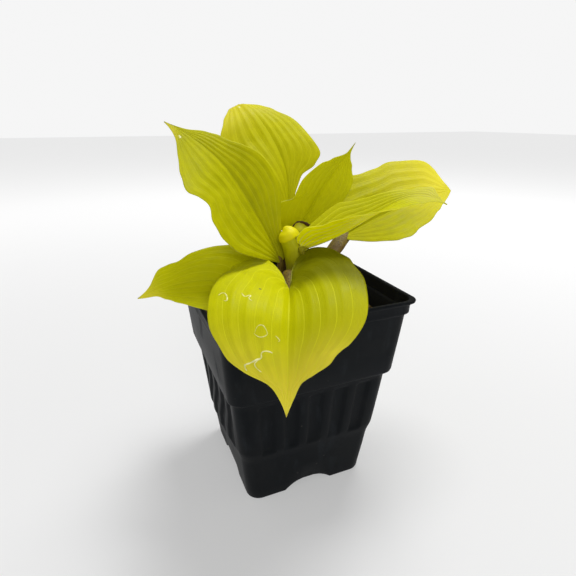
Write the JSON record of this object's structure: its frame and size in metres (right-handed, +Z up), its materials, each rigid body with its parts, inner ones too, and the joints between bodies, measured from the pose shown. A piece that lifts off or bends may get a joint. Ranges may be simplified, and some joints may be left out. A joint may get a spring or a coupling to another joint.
{
  "type": "potted hosta plant",
  "caption": "Hosta with broad, pointed, heart-shaped chartreuse leaves on short stalks, growing in a square black nursery pot.",
  "frame": {"origin": "middle of the pot's bottom plane, on the middle pad the pot stands on", "axes": "+Z up the height of the plant; -Y is the pot side that the lowest, drooping leaf hangs over"},
  "size_m": [0.2083, 0.1743, 0.2256],
  "materials": {
    "leaf_blade": "living leaf, soft satin, chartreuse with paler ribs and yellower tips",
    "leaf_stalk": "smooth leaf stalk, olive with red-brown speckles",
    "rootstock": "rough pale brown crown and roots",
    "potting_mix": "rough moist bark and peat mix",
    "bark": "rough composted bark",
    "pot_plastic": "black satin moulded polypropylene, lightly scuffed"
  },
  "bodies": {
    "root": {"pot": "pot_plastic", "potting_mix": "potting_mix", "crown": "rootstock", "bark_chip_1": "bark", "bark_chip_2": "bark", "bark_chip_3": "bark", "bark_chip_4": "bark", "bark_chip_5": "bark", "bark_chip_6": "bark", "leaf_front": "leaf_blade", "leaf_low_left": "leaf_blade", "leaf_left": "leaf_blade", "leaf_back": "leaf_blade", "leaf_centre": "leaf_blade", "leaf_right_rear": "leaf_blade", "leaf_right": "leaf_blade", "leaf_young": "leaf_blade", "leaf_bud": "leaf_blade", "petiole_front": "leaf_stalk", "petiole_low_left": "leaf_stalk", "petiole_left": "leaf_stalk", "petiole_back": "leaf_stalk", "petiole_centre": "leaf_stalk", "petiole_right_rear": "leaf_stalk", "petiole_right": "leaf_stalk"}
  },
  "joints": []
}
